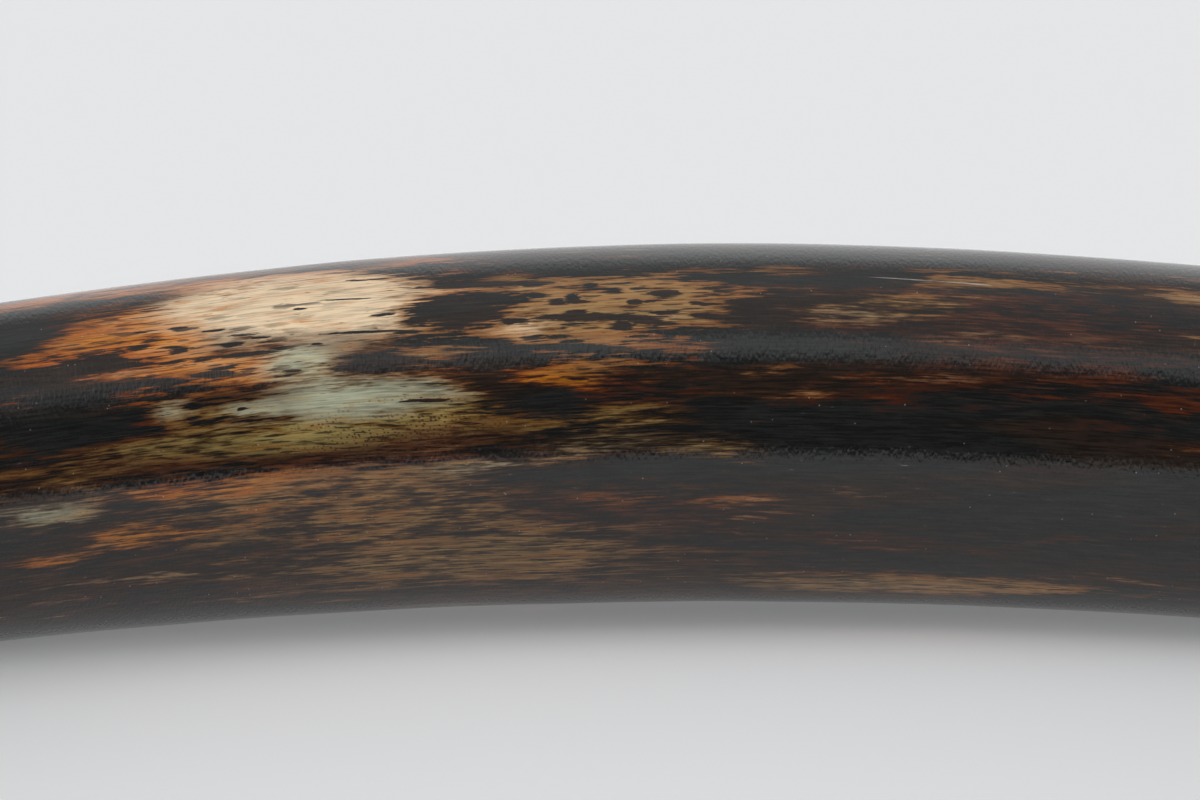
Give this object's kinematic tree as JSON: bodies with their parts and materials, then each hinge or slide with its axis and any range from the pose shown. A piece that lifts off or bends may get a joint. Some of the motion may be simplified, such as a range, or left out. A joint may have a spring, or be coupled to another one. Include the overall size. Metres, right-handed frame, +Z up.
{
  "type": "mammoth tusk",
  "caption": "Whole polished mammoth tusk in stained fossil ivory: one long spiral curve that tapers to a blunt tip, with a trimmed flat root end and a conical pulp cavity.",
  "frame": {"origin": "on the surface that the tusk lies on, below the middle of its bounding box", "axes": "+Z up; +X along the longest extent, towards the root arm; -Y the way the root face and the open side of the curve look"},
  "size_m": [1.237, 0.8486, 0.1916],
  "materials": {
    "fossil_ivory": "polished dark fossil ivory, stained brown and black along the grain, with cream, amber, rust and blue-green patches"
  },
  "bodies": {
    "root": {"tusk": "fossil_ivory"}
  },
  "joints": []
}
